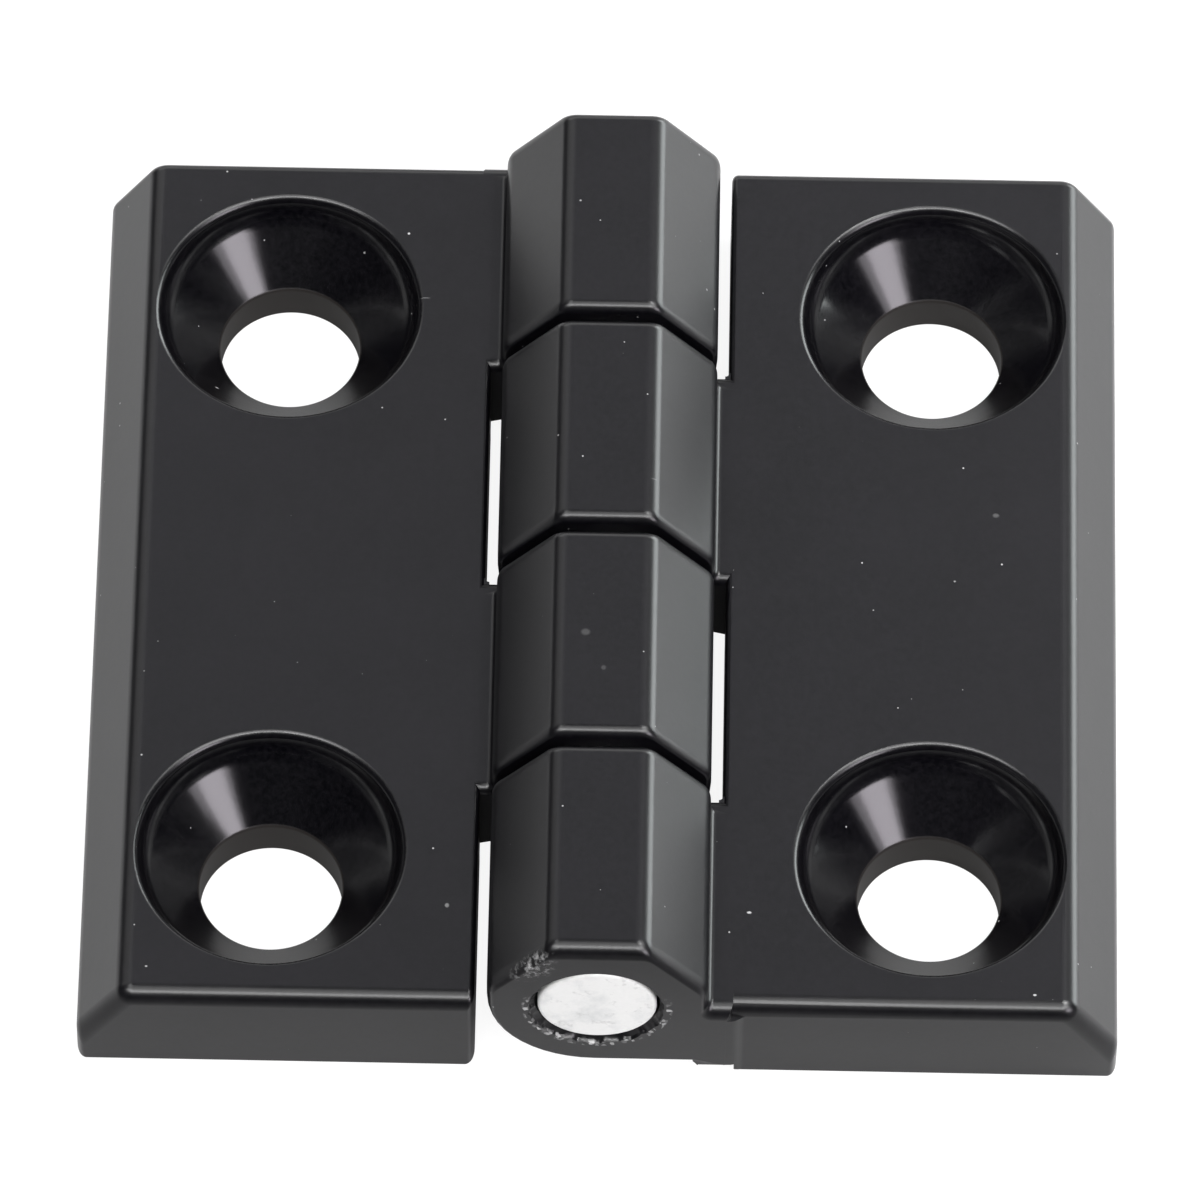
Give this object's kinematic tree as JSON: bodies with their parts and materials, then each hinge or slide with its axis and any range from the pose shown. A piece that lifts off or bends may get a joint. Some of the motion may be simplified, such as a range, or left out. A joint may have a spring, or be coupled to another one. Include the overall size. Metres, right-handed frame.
{
  "type": "butt hinge",
  "caption": "Surface-mounted butt hinge with thick bevelled leaves, countersunk screw holes and faceted knuckles on a plain pin.",
  "frame": {"origin": "on the back plane, under the pin axis, at the middle of the leaves' length", "axes": "+X across both leaves, +Y along the pin to the left leaf's end knuckle, +Z out of the back through the screw holes to the front"},
  "size_m": [0.05, 0.0486, 0.0115],
  "materials": {
    "black_coat": "satin black powder coat",
    "bare_pin": "bare cropped metal"
  },
  "bodies": {
    "right": {"right_leaf": "black_coat", "hinge_pin": "bare_pin"},
    "left": {"left_leaf": "black_coat"}
  },
  "joints": [
    {"name": "leaf_swing", "type": "hinge", "parent": "right", "child": "left", "pos_m": [0, 0, 0.0063], "axis": [0, 1, 0], "range_deg": [-90, 180]}
  ]
}
